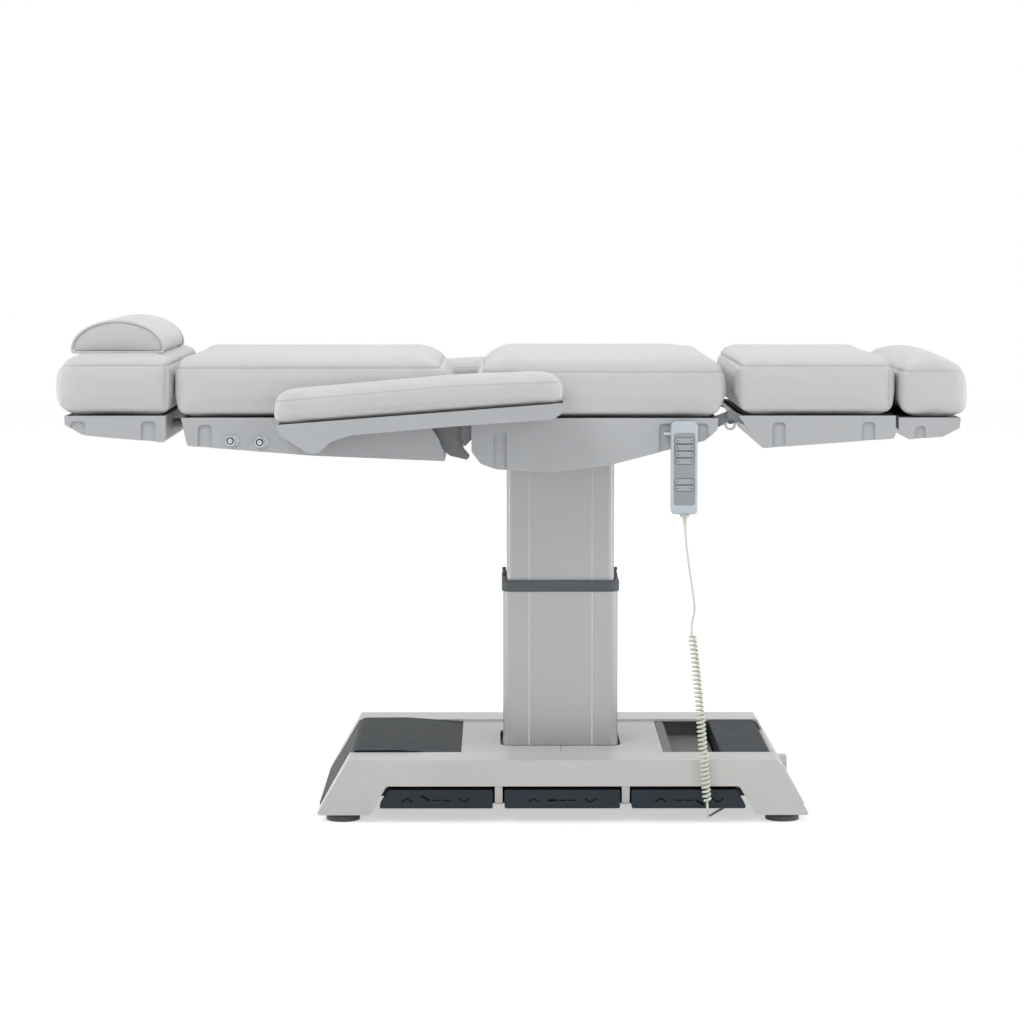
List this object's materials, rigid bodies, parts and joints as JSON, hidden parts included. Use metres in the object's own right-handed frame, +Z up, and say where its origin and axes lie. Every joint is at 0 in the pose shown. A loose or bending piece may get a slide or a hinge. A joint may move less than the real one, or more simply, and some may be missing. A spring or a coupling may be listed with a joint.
{
  "type": "treatment chair",
  "caption": "Electric treatment chair: padded head, back, seat, leg and foot sections on a tilting, lifting column with pedals, armrests and a corded handset.",
  "frame": {"origin": "on the floor, under the middle of the whole chair's length and width", "axes": "+Z up, +X toward the foot end, +Y to the chair's left side as one lies on it (the picture's far side)"},
  "size_m": [1.8872, 0.836, 1.035],
  "materials": {
    "upholstery": "satin",
    "cover_shell": "satin",
    "base_paint": "satin",
    "dark_plastic": "satin",
    "deck_plate": "satin",
    "column_aluminium": "satin",
    "collar_plastic": "matte",
    "frame_steel": "satin",
    "bright_steel": "brushed",
    "chrome": "polished",
    "handset_plastic": "satin",
    "key_rubber": "matte",
    "cord_jacket": "satin",
    "foot_rubber": "matte"
  },
  "bodies": {
    "base": {"base_frame": "frame_steel", "near_side_rail": "base_paint", "far_side_rail": "base_paint", "floor_deck": "deck_plate", "left_end_cover": "dark_plastic", "right_end_cover": "base_paint", "control_box": "dark_plastic", "levelling_feet": "foot_rubber", "column_outer_tube": "column_aluminium", "column_collar": "collar_plastic", "lift_spindle": "frame_steel", "pedal_mounts": "dark_plastic", "cord_tail": "cord_jacket", "cord_coil": "cord_jacket"},
    "lift": {"column_inner_tube": "column_aluminium", "column_head": "frame_steel"},
    "seat": {"seat_frame": "frame_steel", "seat_cushion": "upholstery", "seat_cover": "cover_shell", "handset_hook": "chrome", "handset_shell": "handset_plastic", "back_actuator": "dark_plastic", "leg_actuator": "dark_plastic", "cord_upper": "cord_jacket"},
    "back": {"back_frame": "frame_steel", "back_cushion": "upholstery", "back_cover": "cover_shell", "head_lock_knobs": "chrome"},
    "headrest": {"head_frame": "frame_steel", "head_cushion": "upholstery", "head_cover": "cover_shell", "pillow": "upholstery"},
    "legrest": {"leg_frame": "frame_steel", "leg_cushion": "upholstery", "leg_cover": "cover_shell"},
    "footrest": {"foot_frame": "frame_steel", "foot_cushion": "upholstery", "foot_cover": "cover_shell"},
    "back_rod": {"back_actuator_rod": "bright_steel"},
    "leg_rod": {"leg_actuator_rod": "bright_steel"},
    "tilt_housing": {"tilt_actuator": "dark_plastic"},
    "tilt_rod": {"tilt_actuator_rod": "bright_steel"},
    "near_arm": {"near_arm_pad": "upholstery", "near_arm_shell": "cover_shell"},
    "near_link": {"near_arm_link": "frame_steel"},
    "near_pedal_back": {"near_pedal_back": "dark_plastic"},
    "near_pedal_seat": {"near_pedal_seat": "dark_plastic"},
    "near_pedal_leg": {"near_pedal_leg": "dark_plastic"},
    "far_arm": {"far_arm_pad": "upholstery", "far_arm_shell": "cover_shell"},
    "far_link": {"far_arm_link": "frame_steel"},
    "far_pedal_back": {"far_pedal_back": "dark_plastic"},
    "far_pedal_seat": {"far_pedal_seat": "dark_plastic"},
    "far_pedal_leg": {"far_pedal_leg": "dark_plastic"},
    "key_1": {"handset_key_1": "key_rubber"},
    "key_2": {"handset_key_2": "key_rubber"},
    "key_3": {"handset_key_3": "key_rubber"},
    "key_4": {"handset_key_4": "key_rubber"},
    "key_5": {"handset_key_5": "key_rubber"},
    "key_6": {"handset_key_6": "key_rubber"}
  },
  "joints": [
    {"name": "column_lift", "type": "slide", "parent": "base", "child": "lift", "axis": [0, 0, 1], "range_m": [-0.3, 0], "deforming": ["cord_coil"]},
    {"name": "seat_tilt", "type": "hinge", "parent": "lift", "child": "seat", "pos_m": [0.105, 0, 0.81], "axis": [0, -1, 0], "range_deg": [0, 25]},
    {"name": "back_raise", "type": "hinge", "parent": "seat", "child": "back", "pos_m": [-0.094, 0, 0.889], "axis": [0, 1, 0], "range_deg": [0, 70]},
    {"name": "leg_drop", "type": "hinge", "parent": "seat", "child": "legrest", "pos_m": [0.453, 0, 0.845], "axis": [0, 1, 0], "range_deg": [0, 80]},
    {"name": "head_extend", "type": "slide", "parent": "back", "child": "headrest", "axis": [-1, 0, 0], "range_m": [0, 0.1]},
    {"name": "foot_extend", "type": "slide", "parent": "legrest", "child": "footrest", "axis": [1, 0, 0], "range_m": [0, 0.15]},
    {"name": "tilt_housing_swing", "type": "hinge", "parent": "lift", "child": "tilt_housing", "pos_m": [0.25, -0.06, 0.765], "axis": [0, -1, 0], "range_deg": [0, 39]},
    {"name": "tilt_rod_slide", "type": "slide", "parent": "tilt_housing", "child": "tilt_rod", "axis": [0.9333, 0, 0.359], "range_m": [0, 0.056]},
    {"name": "back_rod_slide", "type": "slide", "parent": "seat", "child": "back_rod", "axis": [1, 0, 0], "range_m": [-0.116, 0]},
    {"name": "leg_rod_slide", "type": "slide", "parent": "seat", "child": "leg_rod", "axis": [1, 0, 0], "range_m": [-0.067, 0]},
    {"name": "near_arm_level", "type": "hinge", "parent": "back", "child": "near_arm", "pos_m": [-0.402, -0.334, 0.822], "axis": [0, 1, 0], "range_deg": [-70, 0]},
    {"name": "near_link_swing", "type": "hinge", "parent": "seat", "child": "near_link", "pos_m": [-0.094, -0.308, 0.857], "axis": [0, 1, 0], "range_deg": [0, 70]},
    {"name": "far_arm_level", "type": "hinge", "parent": "back", "child": "far_arm", "pos_m": [-0.402, 0.334, 0.822], "axis": [0, 1, 0], "range_deg": [-70, 0]},
    {"name": "far_link_swing", "type": "hinge", "parent": "seat", "child": "far_link", "pos_m": [-0.094, 0.308, 0.857], "axis": [0, 1, 0], "range_deg": [0, 70]},
    {"name": "near_pedal_back_rock", "type": "hinge", "parent": "base", "child": "near_pedal_back", "pos_m": [-0.1575, -0.27, 0.05], "axis": [0, 1, 0], "range_deg": [-1.5, 1.5], "stiffness_Nm_per_rad": 40},
    {"name": "near_pedal_seat_rock", "type": "hinge", "parent": "base", "child": "near_pedal_seat", "pos_m": [0.1045, -0.27, 0.05], "axis": [0, 1, 0], "range_deg": [-1.5, 1.5], "stiffness_Nm_per_rad": 40},
    {"name": "near_pedal_leg_rock", "type": "hinge", "parent": "base", "child": "near_pedal_leg", "pos_m": [0.3675, -0.27, 0.05], "axis": [0, 1, 0], "range_deg": [-1.5, 1.5], "stiffness_Nm_per_rad": 40},
    {"name": "far_pedal_back_rock", "type": "hinge", "parent": "base", "child": "far_pedal_back", "pos_m": [-0.1575, 0.27, 0.05], "axis": [0, 1, 0], "range_deg": [-1.5, 1.5], "stiffness_Nm_per_rad": 40},
    {"name": "far_pedal_seat_rock", "type": "hinge", "parent": "base", "child": "far_pedal_seat", "pos_m": [0.1045, 0.27, 0.05], "axis": [0, 1, 0], "range_deg": [-1.5, 1.5], "stiffness_Nm_per_rad": 40},
    {"name": "far_pedal_leg_rock", "type": "hinge", "parent": "base", "child": "far_pedal_leg", "pos_m": [0.3675, 0.27, 0.05], "axis": [0, 1, 0], "range_deg": [-1.5, 1.5], "stiffness_Nm_per_rad": 40},
    {"name": "key_1_rock", "type": "hinge", "parent": "seat", "child": "key_1", "pos_m": [0.354, -0.3189, 0.795], "axis": [0, 0, 1], "range_deg": [-3, 3], "stiffness_Nm_per_rad": 0.5},
    {"name": "key_2_rock", "type": "hinge", "parent": "seat", "child": "key_2", "pos_m": [0.354, -0.3189, 0.7805], "axis": [0, 0, 1], "range_deg": [-3, 3], "stiffness_Nm_per_rad": 0.5},
    {"name": "key_3_rock", "type": "hinge", "parent": "seat", "child": "key_3", "pos_m": [0.354, -0.3189, 0.767], "axis": [0, 0, 1], "range_deg": [-3, 3], "stiffness_Nm_per_rad": 0.5},
    {"name": "key_4_rock", "type": "hinge", "parent": "seat", "child": "key_4", "pos_m": [0.354, -0.3189, 0.7525], "axis": [0, 0, 1], "range_deg": [-3, 3], "stiffness_Nm_per_rad": 0.5},
    {"name": "key_5_rock", "type": "hinge", "parent": "seat", "child": "key_5", "pos_m": [0.354, -0.3189, 0.7105], "axis": [0, 0, 1], "range_deg": [-3, 3], "stiffness_Nm_per_rad": 0.5},
    {"name": "key_6_rock", "type": "hinge", "parent": "seat", "child": "key_6", "pos_m": [0.354, -0.3189, 0.697], "axis": [0, 0, 1], "range_deg": [-3, 3], "stiffness_Nm_per_rad": 0.5}
  ],
  "couplings": [
    {"joint": "tilt_housing_swing", "follows": "seat_tilt", "ratio": 1.5527},
    {"joint": "tilt_rod_slide", "follows": "seat_tilt", "m_per_rad": 0.12697},
    {"joint": "back_rod_slide", "follows": "back_raise", "m_per_rad": -0.09386},
    {"joint": "leg_rod_slide", "follows": "leg_drop", "m_per_rad": -0.04692},
    {"joint": "near_arm_level", "follows": "back_raise", "ratio": -1},
    {"joint": "near_link_swing", "follows": "back_raise", "ratio": 1},
    {"joint": "far_arm_level", "follows": "back_raise", "ratio": -1},
    {"joint": "far_link_swing", "follows": "back_raise", "ratio": 1}
  ]
}
